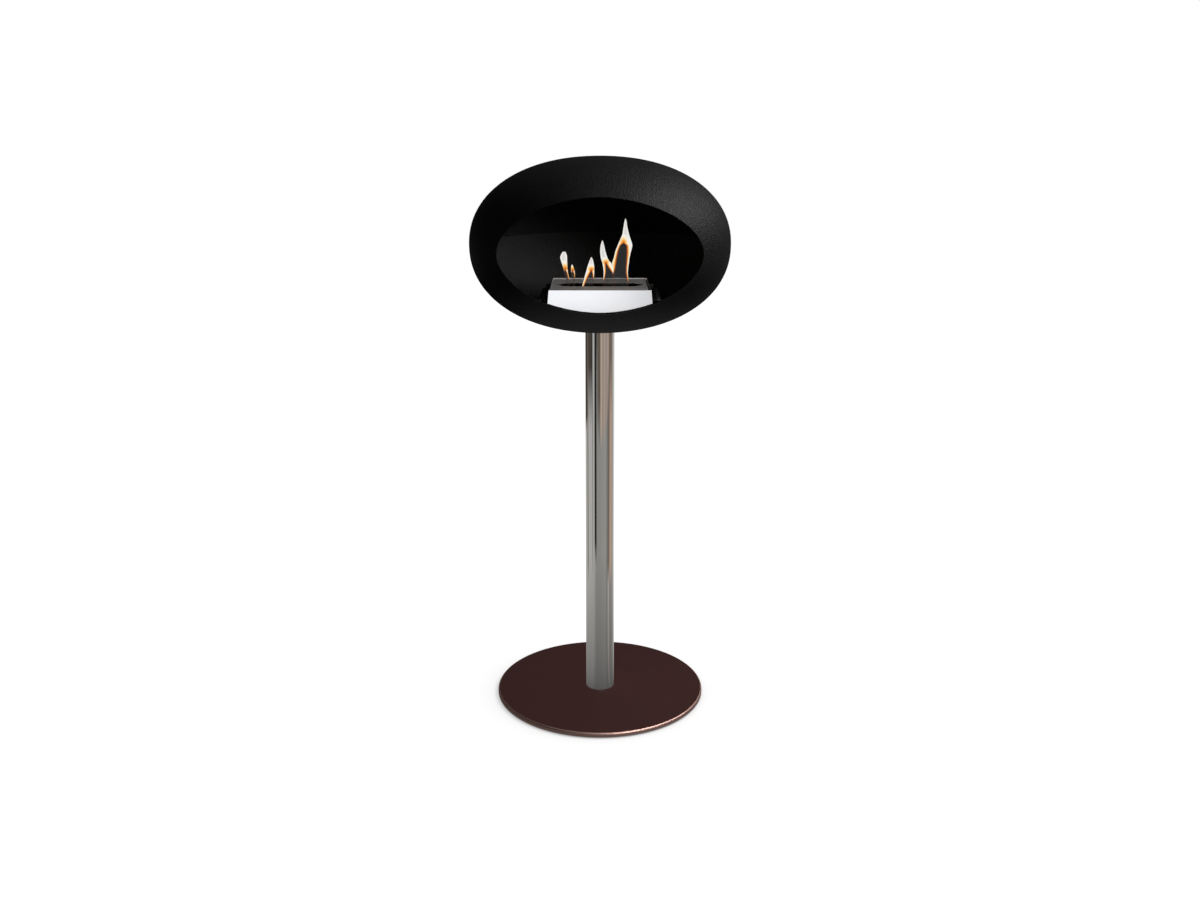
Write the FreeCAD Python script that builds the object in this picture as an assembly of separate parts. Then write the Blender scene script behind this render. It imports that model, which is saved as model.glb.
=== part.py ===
import FreeCAD, Part

import math
import os

# A free-standing ethanol fireplace. A hollow round dome of pressed steel stands on a steel pole and
# a round foot plate. Its oval mouth faces -Y. A burner cassette slides into the mouth on two rails,
# and a shutter under the cassette's top plate closes the flame slot. The origin is on the floor, on
# the pole's axis, and +Z is up. All sizes are in millimetres.

Vector = FreeCAD.Vector
UP = Vector(0, 0, 1)
BACK = Vector(0, 1, 0)
ORIGIN = Vector(0, 0, 0)

# Foot plate, and the pad glued under it
foot_diameter = 444.0
foot_thickness = 10.0
foot_top_round = 4.0
foot_bottom_chamfer = 1.5
pad_diameter = 424.0
pad_thickness = 2.0

# Pole, with a plug welded in each end
pole_diameter = 60.0
pole_wall = 2.0
pole_length = 784.0
plug_height = 30.0
plug_play = 0.1
spigot_diameter = 30.0
spigot_height = 1.3
spigot_play = 0.2

# Screws into the plugs
screw_diameter = 12.0
screw_play = 0.1
screw_hole_play = 0.5
foot_screw_head = 24.0
foot_screw_sink = 0.3
foot_screw_length = 30.0
foot_screw_socket = 8.0
foot_screw_socket_depth = 5.0
dome_screw_across_flats = 18.0
dome_screw_head_height = 7.5
dome_screw_reach = 22.0

# Dome, a solid of revolution whose profile is fuller than an ellipse
dome_diameter = 517.0
dome_height = 341.0
dome_fullness_share = 2.16
dome_wall = 2.5
gasket_thickness = 1.5
gasket_inset = 0.5
gasket_seat_gap = 0.22

# Oval mouth, cut straight through the front of the dome
mouth_width = 384.0
mouth_height = 212.0
mouth_fullness_share = 1.85

# Heat shield, an inner bowl that lines the dome's lower half
shield_wall = 1.2
shield_seat_gap = 0.3
shield_rim_gap = 5.0
shield_mouth_margin = 10.0
clamp_diameter = 110.0
clamp_thickness = 5.0
clamp_seat_gap = 0.05
washer_diameter = 21.0
washer_thickness = 2.5
washer_split = 2.0

# Burner cassette, whose front plate follows the mouth's lower edge
cassette_setback = 10.5
cassette_width = 190.0
cassette_depth = 174.0
cassette_drop = 62.5
front_flare = 2.3
front_thickness = 2.0
mouth_clearance = 0.9
casing_inset = 1.2
casing_wall = 1.0
ledge_width = 4.0
stud_diameter = 4.0
stud_length = 4.6
stud_place = 60.0
stud_drop = 13.0
stud_hole_play = 0.2
nut_across_flats = 7.0
nut_height = 3.0

# Runners on the casing, and the rails in the dome that carry them
runner_width = 12.2
runner_thickness = 1.2
runner_clearance = 2.1
runner_end_gap = 4.0
rail_play = 0.2
rail_side_play = 0.7
rail_width = 19.0
rail_thickness = 1.5
rail_front_gap = 14.0
rail_stop_gap = 0.3
rail_stop_height = 8.0
rail_seat_gap = 0.3

# Fuel tank, its fibre and its top plate with the flame slot
tank_clearance = 0.5
tank_floor_gap = 1.0
tank_wall = 1.0
fibre_gap = 0.3
fibre_drop = 12.0
top_plate_recess = 2.5
top_plate_thickness = 2.0
top_plate_play = 0.4
top_plate_finger_gap = 3.0
top_plate_corner = 3.0
notch_radius = 3.5
slot_end_margin = 3.3
slot_set_back = 2.2
slot_width = 41.5
slot_tip_length = 22.0
slot_tip_bulge = 1.6

# Shutter with its upright lip, and its guides
shutter_play = 0.3
shutter_thickness = 1.5
shutter_side_play = 1.7
shutter_front_overlap = 5.0
lip_width = 14.0
lip_play = 0.4
lip_drop = 0.3
lip_round = 1.0
guide_thickness = 2.0
guide_ledge = 1.4
guide_wall_gap = 0.1
guide_end_gap = 6.0

# Extra reach of a cutting tool past the face that it cuts
overrun = 1.0

# Step between the points of a dome-like profile
profile_step_deg = 10

# Levels and places that follow from the sizes above
foot_top = pad_thickness + foot_thickness
pole_radius = pole_diameter / 2
pole_bore = pole_radius - pole_wall
pole_top = foot_top + pole_length
screw_radius = screw_diameter / 2
dome_radius = dome_diameter / 2
dome_half = dome_height / 2
dome_bottom = pole_top + gasket_thickness
dome_mid = dome_bottom + dome_half
mouth_half_width = mouth_width / 2
mouth_half_height = mouth_height / 2


# Radius of the dome's outside at a height above or below its middle
def dome_radius_at(rise):
    share = (abs(rise) / dome_half) ** dome_fullness_share
    return dome_radius * (1 - share) ** (1 / dome_fullness_share)


# Height of the mouth's lower edge at a distance from its centre line, with the oval drawn in by inset
def mouth_floor_at(side, inset):
    share = (abs(side) / (mouth_half_width - inset)) ** mouth_fullness_share
    return dome_mid - (mouth_half_height - inset) * (1 - share) ** (1 / mouth_fullness_share)


cassette_front = cassette_setback - dome_radius_at(mouth_half_height)
cassette_back = cassette_front + cassette_depth
cassette_rim = dome_mid - cassette_drop
cassette_half = cassette_width / 2
slot_mid = (cassette_front + cassette_back) / 2 + slot_set_back
casing_front = cassette_front + front_thickness
casing_half = cassette_half - casing_inset
runner_half = casing_half + runner_width
runner_bottom = mouth_floor_at(runner_half, 0) + runner_clearance
rail_top = runner_bottom - rail_play
top_plate_top = cassette_rim - top_plate_recess
top_plate_bottom = top_plate_top - top_plate_thickness
tank_flange_bottom = top_plate_bottom - tank_wall
ledge_bottom = tank_flange_bottom - casing_wall
tank_margin = casing_wall + ledge_width + tank_clearance
tank_half = casing_half - tank_margin
tank_front = casing_front + tank_margin
tank_back = cassette_back - tank_margin
tank_inner_half = tank_half - tank_wall
slot_half = tank_inner_half - slot_end_margin
slot_half_width = slot_width / 2
shutter_top = top_plate_bottom - shutter_play
shutter_bottom = shutter_top - shutter_thickness
guide_top = shutter_bottom - shutter_play
fibre_top = shutter_bottom - fibre_drop


# Vertical cylinder on the pole's axis
def disc(radius, bottom, top):
    return Part.makeCylinder(radius, top - bottom, Vector(0, 0, bottom))


# Flat ring on the pole's axis
def ring(outer, inner, bottom, top):
    return disc(outer, bottom, top).cut(disc(inner, bottom - overrun, top + overrun))


# Box between two opposite corners
def block(low, high):
    return Part.makeBox(high.x - low.x, high.y - low.y, high.z - low.z, low)


# Hexagonal bar of a given size across flats, its base centred on a point
def hex_bar(across_flats, length, base, direction):
    corner = across_flats / 2 / math.cos(math.pi / 6)
    side = Vector(1, 0, 0)
    points = []
    for step in range(7):
        turn = FreeCAD.Rotation(direction, 60 * step)
        points.append(base + turn.multVec(side * corner))
    return Part.Face(Part.makePolygon(points)).extrude(direction * length)


# Height of a dome-like surface's underside at a distance from the axis, raised by inset
def underside(radius, half_height, inset, reach):
    share = 1 - (reach / radius) ** dome_fullness_share
    return dome_mid + inset - half_height * share ** (1 / dome_fullness_share)


# Point of a dome-like profile in the XZ plane, drawn in by inset. An angle of 0 is the middle, 90 the top
def profile_point(radius, half_height, inset, angle):
    power = 2 / dome_fullness_share
    slope = dome_fullness_share - 1
    across = max(math.cos(angle), 0) ** power
    rise = math.copysign(abs(math.sin(angle)) ** power, math.sin(angle))
    normal_x = across ** slope / radius
    normal_z = math.copysign(abs(rise) ** slope, rise) / half_height
    length = math.hypot(normal_x, normal_z)
    x = radius * across - inset * normal_x / length
    z = half_height * rise - inset * normal_z / length
    return Vector(x, 0, dome_mid + z)


# Smooth edge along a dome-like profile, from a start radius at the bottom up to the angle end_deg
def profile_edge(radius, half_height, inset, start_radius, end_deg):
    steps = round((end_deg + 90) / profile_step_deg)
    points = [Vector(start_radius, 0, underside(radius, half_height, inset, start_radius))]
    for step in range(1, steps + 1):
        angle = math.radians(profile_step_deg * step - 90)
        points.append(profile_point(radius, half_height, inset, angle))
    if end_deg == 90:
        points[-1].x = 0
        end = Vector(-1, 0, 0)
    else:
        end = UP
    curve = Part.BSplineCurve()
    curve.interpolate(Points=points, InitialTangent=Vector(1, 0, 0), FinalTangent=end)
    return curve.toShape()


# Solid of revolution of a closed run of edges in the XZ plane
def spun(edges):
    wire = Part.Wire(Part.__sortEdges__(edges))
    return Part.Face(wire).revolve(ORIGIN, UP, 360)


# Whole dome-like solid
def dome_solid(radius, half_height, inset):
    curve = profile_edge(radius, half_height, inset, 0, 90)
    axis = Part.makeLine(curve.Vertexes[-1].Point, curve.Vertexes[0].Point)
    return spun([curve, axis])


# Spun sheet of a given wall between its outside and its inside, with a round hole below
def spun_sheet(radius, half_height, wall, hole_radius, end_deg):
    outside = profile_edge(radius, half_height, 0, hole_radius, end_deg)
    inside = profile_edge(radius, half_height, wall, hole_radius, end_deg)
    hole = Part.makeLine(outside.Vertexes[0].Point, inside.Vertexes[0].Point)
    rim = Part.makeLine(outside.Vertexes[-1].Point, inside.Vertexes[-1].Point)
    return spun([outside, rim, inside, hole])


# Ring with a flat face, and a coned face that sits against the underside of a dome-like surface
def coned_ring(outer, inner, flat_level, radius, half_height, inset):
    points = [
        Vector(inner, 0, underside(radius, half_height, inset, inner)),
        Vector(outer, 0, underside(radius, half_height, inset, outer)),
        Vector(outer, 0, flat_level),
        Vector(inner, 0, flat_level),
    ]
    return spun(Part.makePolygon(points + points[:1]).Edges)


# Oval prism of the mouth, grown by margin, from the dome's middle out past its front
def mouth_prism(margin):
    power = 2 / mouth_fullness_share
    steps = 40
    points = []
    for step in range(steps):
        angle = 2 * math.pi * step / steps
        x = math.copysign(abs(math.cos(angle)) ** power, math.cos(angle))
        z = math.copysign(abs(math.sin(angle)) ** power, math.sin(angle))
        side = (mouth_half_width + margin) * x
        rise = (mouth_half_height + margin) * z
        points.append(Vector(side, 0, dome_mid + rise))
    curve = Part.BSplineCurve()
    curve.interpolate(Points=points, PeriodicFlag=True)
    return Part.Face(Part.Wire(curve.toShape())).extrude(BACK * -dome_radius)


shield_radius = dome_radius - dome_wall - shield_rim_gap
shield_half = dome_half - dome_wall - shield_seat_gap
shield_floor = dome_mid - shield_half + shield_wall
clamp_top = shield_floor + clamp_thickness
washer_top = clamp_top + washer_thickness


# Pad of dense felt rubber, glued under the foot plate
def floor_pad():
    return disc(pad_diameter / 2, 0, pad_thickness)


# Round plate with a rounded rim, a countersink below and a shallow seat for the pole's spigot above
def foot_plate():
    rim = foot_diameter / 2
    hole = screw_radius + screw_hole_play
    sink = foot_screw_head / 2 + screw_hole_play
    seat = spigot_diameter / 2 + spigot_play
    seat_bottom = foot_top - spigot_height - spigot_play
    outline = [
        Vector(sink, 0, pad_thickness),
        Vector(rim - foot_bottom_chamfer, 0, pad_thickness),
        Vector(rim, 0, pad_thickness + foot_bottom_chamfer),
        Vector(rim, 0, foot_top - foot_top_round),
        Vector(rim - foot_top_round, 0, foot_top),
        Vector(seat, 0, foot_top),
        Vector(seat, 0, seat_bottom),
        Vector(hole, 0, seat_bottom),
        Vector(hole, 0, pad_thickness + sink - hole),
    ]
    edges = []
    for index, point in enumerate(outline):
        edges.append(Part.makeLine(point, outline[(index + 1) % len(outline)]))
    round_centre = Vector(rim - foot_top_round, 0, foot_top - foot_top_round)
    round_middle = round_centre + Vector(1, 0, 1).normalize() * foot_top_round
    edges[3] = Part.Arc(outline[3], round_middle, outline[4]).toShape()
    return spun(edges)


# Countersunk socket screw from below, into the plug at the pole's foot
def foot_screw():
    bottom = pad_thickness + foot_screw_sink
    head_radius = foot_screw_head / 2
    head_height = head_radius - screw_radius
    head = Part.makeCone(head_radius, screw_radius, head_height, Vector(0, 0, bottom))
    shank = disc(screw_radius, bottom, bottom + foot_screw_length)
    socket_length = foot_screw_socket_depth + overrun
    socket = hex_bar(foot_screw_socket, socket_length, Vector(0, 0, bottom - overrun), UP)
    return head.fuse(shank).removeSplitter().cut(socket)


# Stainless tube, open at both ends
def pole_tube():
    return ring(pole_radius, pole_bore, foot_top, pole_top)


# Plug welded in the pole's foot, with a spigot that centres it in the foot plate
def pole_foot_plug():
    plug = disc(pole_bore - plug_play, foot_top, foot_top + plug_height)
    spigot_bottom = foot_top - spigot_height
    spigot = disc(spigot_diameter / 2, spigot_bottom, foot_top + overrun)
    thread = disc(screw_radius + screw_play, spigot_bottom - overrun, foot_top + plug_height + overrun)
    return plug.fuse(spigot).removeSplitter().cut(thread)


# Plug welded in the pole's head
def pole_head_plug():
    return ring(pole_bore - plug_play, screw_radius + screw_play, pole_top - plug_height, pole_top)


# Rubber ring between the pole's end and the dome, coned to suit the dome's underside
def dome_gasket():
    outer = pole_radius - gasket_inset
    inner = screw_radius + screw_hole_play
    return coned_ring(outer, inner, pole_top, dome_radius, dome_half, -gasket_seat_gap)


# Spun and welded shell, with the screw hole below and the oval mouth in front
def dome_shell():
    shell = spun_sheet(dome_radius, dome_half, dome_wall, screw_radius + screw_hole_play, 90)
    return shell.cut(mouth_prism(0))


# Bowl that lines the dome's lower half up to its middle, cut back behind the mouth
def heat_shield():
    bowl = spun_sheet(shield_radius, shield_half, shield_wall, screw_radius + screw_hole_play, 0)
    return bowl.cut(mouth_prism(shield_mouth_margin))


# Round plate in the bottom of the bowl that spreads the screw's load
def clamp_plate():
    inner = screw_radius + screw_hole_play
    lift = shield_wall + clamp_seat_gap
    return coned_ring(clamp_diameter / 2, inner, clamp_top, shield_radius, shield_half, lift)


# Split spring washer under the screw's head
def spring_washer():
    washer = ring(washer_diameter / 2, screw_radius + screw_hole_play, clamp_top, washer_top)
    low = Vector(screw_radius, -washer_split / 2, clamp_top - overrun)
    high = Vector(washer_diameter, washer_split / 2, washer_top + overrun)
    return washer.cut(block(low, high))


# Hexagon screw that holds the clamp plate, the bowl, the dome and the gasket to the pole
def dome_screw():
    head = hex_bar(dome_screw_across_flats, dome_screw_head_height, Vector(0, 0, washer_top), UP)
    crown = Part.makeCone(
        dome_screw_across_flats / 2 + dome_screw_head_height,
        dome_screw_across_flats / 2,
        dome_screw_head_height,
        Vector(0, 0, washer_top),
    )
    shank = disc(screw_radius, pole_top - dome_screw_reach, washer_top + overrun)
    return head.common(crown).fuse(shank).removeSplitter()


# Closed outline, across the cassette, whose lower edge follows the mouth drawn in by inset
def cassette_outline(top_half, low_half, top, inset, y):
    steps = 12
    points = []
    for step in range(steps + 1):
        side = low_half * (1 - 2 * step / steps)
        points.append(Vector(side, y, mouth_floor_at(side, inset)))
    curve = Part.BSplineCurve()
    curve.interpolate(Points=points)
    upper_left = Vector(-top_half, y, top)
    upper_right = Vector(top_half, y, top)
    left = Part.makeLine(points[-1], upper_left)
    rim = Part.makeLine(upper_left, upper_right)
    right = Part.makeLine(upper_right, points[0])
    return Part.Face(Part.Wire([curve.toShape(), left, rim, right]))


# Straight-sided prism of the cassette's outline, from front to back
def cassette_prism(half, top, inset, front, back):
    return cassette_outline(half, half, top, inset, front).extrude(BACK * (back - front))


# Polished plate that closes the cassette's front, with two weld studs behind it
def burner_front_plate():
    low_half = cassette_half + front_flare
    plate = cassette_outline(cassette_half, low_half, cassette_rim, mouth_clearance, cassette_front)
    plate = plate.extrude(BACK * front_thickness)
    for side in (-stud_place, stud_place):
        base = Vector(side, casing_front - overrun, cassette_rim - stud_drop)
        plate = plate.fuse(Part.makeCylinder(stud_diameter / 2, stud_length + overrun, base, BACK))
    return plate.removeSplitter()


# Nuts on the front plate's studs, inside the casing's front wall
def front_plate_nuts():
    nuts = []
    for side in (-stud_place, stud_place):
        base = Vector(side, casing_front + casing_wall, cassette_rim - stud_drop)
        nut = hex_bar(nut_across_flats, nut_height, base, BACK)
        bore = Part.makeCylinder(
            stud_diameter / 2 + screw_play, nut_height + 2 * overrun, base - BACK * overrun, BACK
        )
        nuts.append(nut.cut(bore))
    return Part.makeCompound(nuts)


# Folded box, open at the top, with a ledge inside for the tank and a runner along each side
def burner_casing():
    inset = mouth_clearance + casing_inset
    inner_half = casing_half - casing_wall
    box = cassette_prism(casing_half, cassette_rim, inset, casing_front, cassette_back)
    hollow_front = casing_front + casing_wall
    hollow_back = cassette_back - casing_wall
    hollow_top = cassette_rim + overrun
    hollow = cassette_prism(inner_half, hollow_top, inset + casing_wall, hollow_front, hollow_back)
    box = box.cut(hollow)
    ledge = block(
        Vector(-inner_half, hollow_front, ledge_bottom), Vector(inner_half, hollow_back, tank_flange_bottom)
    )
    gap_half = inner_half - ledge_width
    gap = block(
        Vector(-gap_half, hollow_front + ledge_width, ledge_bottom - overrun),
        Vector(gap_half, hollow_back - ledge_width, tank_flange_bottom + overrun),
    )
    box = box.fuse(ledge.cut(gap))
    for side in (-1, 1):
        near = side * (casing_half - casing_wall / 2)
        far = side * runner_half
        low = Vector(min(near, far), casing_front + runner_end_gap, runner_bottom)
        high = Vector(max(near, far), cassette_back, runner_bottom + runner_thickness)
        box = box.fuse(block(low, high))
    for side in (-stud_place, stud_place):
        base = Vector(side, casing_front - overrun, cassette_rim - stud_drop)
        radius = stud_diameter / 2 + stud_hole_play
        box = box.cut(Part.makeCylinder(radius, casing_wall + 2 * overrun, base, BACK))
    return box.removeSplitter()


# Rail on one side of the dome's floor: a flange, a web shaped to the bowl and a stop at the back
def burner_rail(side):
    inner = casing_half + rail_side_play
    outer = inner + rail_width
    front = casing_front + rail_front_gap
    stop_front = cassette_back + rail_stop_gap
    back = stop_front + rail_thickness
    flange = block(Vector(inner, front, rail_top - rail_thickness), Vector(outer, back, rail_top))
    web = block(Vector(outer - rail_thickness, front, dome_bottom), Vector(outer, back, rail_top))
    stop = block(
        Vector(inner, stop_front, rail_top - rail_thickness),
        Vector(runner_half, back, rail_top + rail_stop_height),
    )
    rail = flange.fuse(web).fuse(stop).removeSplitter()
    rail = rail.common(dome_solid(shield_radius, shield_half, shield_wall + rail_seat_gap))
    if side < 0:
        rail = rail.mirror(ORIGIN, Vector(1, 0, 0))
    return rail


# Open tank with a flange all round that rests on the casing's ledge
def fuel_tank():
    inset = mouth_clearance + casing_inset + casing_wall + tank_floor_gap
    tank = cassette_prism(tank_half, top_plate_bottom, inset, tank_front, tank_back)
    flange_half = casing_half - casing_wall - tank_clearance
    flange = block(
        Vector(-flange_half, tank_front - ledge_width, tank_flange_bottom),
        Vector(flange_half, tank_back + ledge_width, top_plate_bottom),
    )
    hollow = cassette_prism(
        tank_inner_half,
        top_plate_bottom + overrun,
        inset + tank_wall,
        tank_front + tank_wall,
        tank_back - tank_wall,
    )
    return tank.fuse(flange).removeSplitter().cut(hollow)


# Block of mineral fibre that soaks up the fuel
def fibre_block():
    inset = mouth_clearance + casing_inset + casing_wall + tank_floor_gap + tank_wall + fibre_gap
    front = tank_front + tank_wall + fibre_gap
    back = tank_back - tank_wall - fibre_gap
    return cassette_prism(tank_inner_half - fibre_gap, fibre_top, inset, front, back)


# Outline of the flame slot: straight sides that close to a point at each end
def slot_prism():
    half = slot_half_width
    shoulder = slot_half - slot_tip_length
    middle = (slot_half + shoulder) / 2
    bulge = half / 2 + slot_tip_bulge
    low = top_plate_bottom - overrun

    def at(x, y):
        return Vector(x, slot_mid + y, low)

    edges = [Part.makeLine(at(-shoulder, -half), at(shoulder, -half))]
    edges.append(Part.Arc(at(shoulder, -half), at(middle, -bulge), at(slot_half, 0)).toShape())
    edges.append(Part.Arc(at(slot_half, 0), at(middle, bulge), at(shoulder, half)).toShape())
    edges.append(Part.makeLine(at(shoulder, half), at(-shoulder, half)))
    edges.append(Part.Arc(at(-shoulder, half), at(-middle, bulge), at(-slot_half, 0)).toShape())
    edges.append(Part.Arc(at(-slot_half, 0), at(-middle, -bulge), at(-shoulder, -half)).toShape())
    return Part.Face(Part.Wire(edges)).extrude(UP * (top_plate_thickness + 2 * overrun))


# Brushed plate with the flame slot, and a finger notch in the middle of its front edge
def burner_top_plate():
    margin = casing_wall + top_plate_play
    left = margin - casing_half
    right = casing_half - casing_wall - top_plate_finger_gap
    front = casing_front + margin
    back = cassette_back - margin
    plate = block(Vector(left, front, top_plate_bottom), Vector(right, back, top_plate_top))
    corners = [edge for edge in plate.Edges if edge.BoundBox.ZLength > top_plate_thickness / 2]
    plate = plate.makeFillet(top_plate_corner, corners)
    notch = Part.makeCylinder(
        notch_radius, top_plate_thickness + 2 * overrun, Vector(0, front, top_plate_bottom - overrun)
    )
    return plate.cut(slot_prism()).cut(notch)


shutter_half = tank_inner_half - shutter_side_play
slot_front = slot_mid - slot_half_width
shutter_travel = slot_width - 2 * lip_play - shutter_thickness
shutter_back = slot_front + lip_play + shutter_thickness
shutter_front = slot_front - shutter_front_overlap - shutter_travel


# Sliding plate that closes the slot, with a lip bent up in the middle of its back edge for a hook
def shutter():
    plate = block(
        Vector(-shutter_half, shutter_front, shutter_bottom),
        Vector(shutter_half, shutter_back, shutter_top),
    )
    lip = block(
        Vector(-lip_width / 2, shutter_back - shutter_thickness, shutter_bottom),
        Vector(lip_width / 2, shutter_back, top_plate_top - lip_drop),
    )
    upper = [edge for edge in lip.Edges if edge.BoundBox.ZMin > shutter_top]
    corners = [edge for edge in upper if edge.BoundBox.XLength < lip_round]
    return lip.makeFillet(lip_round, corners).fuse(plate).removeSplitter()


# Ledge on the inside of one side wall of the tank that carries the shutter's edge
def shutter_guide(side):
    inner = shutter_half - guide_ledge
    outer = tank_inner_half - guide_wall_gap
    front = tank_front + tank_wall + guide_end_gap
    back = shutter_back + shutter_travel + guide_end_gap
    ledge = block(Vector(inner, front, guide_top - guide_thickness), Vector(outer, back, guide_top))
    if side < 0:
        ledge = ledge.mirror(ORIGIN, Vector(1, 0, 0))
    return ledge


pieces = {
    "floor_pad": floor_pad(),
    "foot_plate": foot_plate(),
    "foot_screw": foot_screw(),
    "pole_tube": pole_tube(),
    "pole_foot_plug": pole_foot_plug(),
    "pole_head_plug": pole_head_plug(),
    "dome_gasket": dome_gasket(),
    "dome_shell": dome_shell(),
    "heat_shield_bowl": heat_shield(),
    "clamp_plate": clamp_plate(),
    "spring_washer": spring_washer(),
    "dome_screw": dome_screw(),
    "burner_rail_left": burner_rail(-1),
    "burner_rail_right": burner_rail(1),
    "burner_casing": burner_casing(),
    "burner_front_plate": burner_front_plate(),
    "front_plate_nuts": front_plate_nuts(),
    "fuel_tank": fuel_tank(),
    "fibre_block": fibre_block(),
    "burner_top_plate": burner_top_plate(),
    "shutter_guide_left": shutter_guide(-1),
    "shutter_guide_right": shutter_guide(1),
    "shutter": shutter(),
}

os.makedirs("parts", exist_ok=True)
for name, shape in pieces.items():
    shape.exportStep(os.path.join("parts", name + ".step"))
    print(f"{name}: {len(shape.Solids)} solids, {shape.Volume / 1000:.2f} cm3, valid {shape.isValid()}")
print(f"shutter travel {shutter_travel:.2f}, cassette front {cassette_front:.2f}, rail top {rail_top:.2f}")
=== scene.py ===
import math

import bpy
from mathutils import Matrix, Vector


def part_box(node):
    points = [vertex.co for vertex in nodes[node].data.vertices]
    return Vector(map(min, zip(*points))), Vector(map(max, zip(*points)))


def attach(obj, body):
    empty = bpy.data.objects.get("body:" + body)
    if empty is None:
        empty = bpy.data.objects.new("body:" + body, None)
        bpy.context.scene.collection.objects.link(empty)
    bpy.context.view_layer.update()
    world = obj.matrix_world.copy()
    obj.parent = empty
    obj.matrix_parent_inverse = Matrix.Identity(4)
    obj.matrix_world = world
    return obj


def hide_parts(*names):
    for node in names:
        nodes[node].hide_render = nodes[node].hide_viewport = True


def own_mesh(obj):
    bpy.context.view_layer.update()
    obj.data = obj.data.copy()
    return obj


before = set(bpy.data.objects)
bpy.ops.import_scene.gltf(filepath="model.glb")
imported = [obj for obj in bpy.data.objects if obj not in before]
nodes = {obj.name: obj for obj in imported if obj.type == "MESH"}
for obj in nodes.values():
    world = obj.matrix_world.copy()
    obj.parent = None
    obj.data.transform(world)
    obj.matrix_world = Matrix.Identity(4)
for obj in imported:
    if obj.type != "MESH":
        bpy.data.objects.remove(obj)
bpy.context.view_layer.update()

bpy.ops.object.select_all(action="DESELECT")

# Camera: it stands in front of the open mouth, a little above the dome, and looks slightly down. The
# pole's axis runs down the middle of the picture.
camera_distance = 2.440
camera_height = 1.2271
camera_tilt_deg = 74.296
camera_sensor = 36
camera_lens = 36.6
bpy.ops.object.camera_add(
    location=(0, -camera_distance, camera_height), rotation=(math.radians(camera_tilt_deg), 0, 0)
)
camera = bpy.context.object
camera.data.sensor_width = camera_sensor
camera.data.lens = camera_lens
bpy.context.scene.camera = camera
bpy.context.scene.view_settings.view_transform = "Standard"


# Studio: a pale matt floor and a faint sky that darkens to the left, both plain white to the camera,
# and three soft lamps: one high on the right, a weaker one in front, and one that lights nothing but
# the burner's box and top plate.
class Value:
    """A socket's output that takes part in sums as a number does."""

    def __init__(self, tree, socket):
        self.tree = tree
        self.socket = socket

    def sum(self, operation, first, second):
        node = self.tree.nodes.new("ShaderNodeMath")
        node.operation = operation
        for slot, part in enumerate((first, second)):
            if isinstance(part, Value):
                self.tree.links.new(part.socket, node.inputs[slot])
            else:
                node.inputs[slot].default_value = part
        return Value(self.tree, node.outputs[0])

    def __add__(self, other):
        return self.sum("ADD", self, other)

    def __sub__(self, other):
        return self.sum("SUBTRACT", self, other)

    def __rsub__(self, other):
        return self.sum("SUBTRACT", other, self)

    def __mul__(self, other):
        return self.sum("MULTIPLY", self, other)

    def __pow__(self, other):
        return self.sum("POWER", self, other)

    __radd__ = __add__
    __rmul__ = __mul__


class Finish:
    """A surface finish, built node by node, or the finish of a world."""

    def __init__(self, name, world=None):
        self.material = bpy.data.materials.new(name) if world is None else world
        self.material.use_nodes = True
        self.tree = self.material.node_tree
        self.tree.nodes.clear()
        self.output = "ShaderNodeOutputMaterial" if world is None else "ShaderNodeOutputWorld"

    def node(self, kind, settings=None, sockets=None, out=0):
        """Adds a node. Its settings are set first, then the values or links of its sockets."""
        node = self.tree.nodes.new(kind)
        for name, value in (settings or {}).items():
            if name == "stops":
                first, *between, last = value
                stops = node.color_ramp.elements
                for place, colour in between:
                    stops.new(place).color = (*colour, 1)
                stops[0].position = first[0]
                stops[0].color = (*first[1], 1)
                stops[-1].position = last[0]
                stops[-1].color = (*last[1], 1)
            else:
                setattr(node, name, value)
        for name, value in (sockets or {}).items():
            socket = node.inputs[name]
            if isinstance(value, Value):
                self.tree.links.new(value.socket, socket)
            elif socket.type == "RGBA":
                socket.default_value = (*value, 1)
            else:
                socket.default_value = value
        return Value(self.tree, node.outputs[out]) if node.outputs else None

    def mix(self, share, first, second):
        """Colour between two colours."""
        return self.node("ShaderNodeMix", {"data_type": "RGBA"}, {0: share, 6: first, 7: second}, out=2)

    def noise(self, place, size, detail=2.0):
        """Soft noise whose blotches are about size metres across."""
        return self.node("ShaderNodeTexNoise", {}, {"Vector": place, "Scale": 1 / size, "Detail": detail})

    def place(self, stretch=(1, 1, 1)):
        """The point on the piece, squeezed along its axes."""
        point = self.node("ShaderNodeTexCoord", {}, {}, out="Object")
        return self.node("ShaderNodeMapping", {}, {"Vector": point, "Scale": stretch})

    def reach(self):
        """Distance of the point on the piece from the pole's axis."""
        flat = self.place((1, 1, 0))
        return self.node("ShaderNodeVectorMath", {"operation": "LENGTH"}, {0: flat}, out="Value")

    def along(self, axis):
        """Distance of the point on the piece along an axis."""
        return self.node("ShaderNodeSeparateXYZ", {}, {"Vector": self.place()}, out=axis)

    def between(self, value, start, full, low=0.0, high=1.0):
        """Low up to the start and high from full on, with an even change in between."""
        sockets = {"Value": value, "From Min": start, "From Max": full, "To Min": low, "To Max": high}
        return self.node("ShaderNodeMapRange", {}, sockets)

    def attribute(self, name):
        """Number that the piece's mesh carries under a name."""
        return self.node("ShaderNodeAttribute", {"attribute_name": name}, {}, out="Fac")

    def shine(self, strength, colour=(1, 1, 1)):
        """Even light of a colour."""
        return self.node("ShaderNodeEmission", {}, {"Color": colour, "Strength": strength})

    def ends(self, shader):
        """Makes the shader the finish's last node."""
        self.node(self.output, {}, {"Surface": shader})
        return self.material

    def surface(self, sockets):
        """Makes the plain surface shader the finish's last node."""
        return self.ends(self.node("ShaderNodeBsdfPrincipled", {}, sockets))


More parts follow.
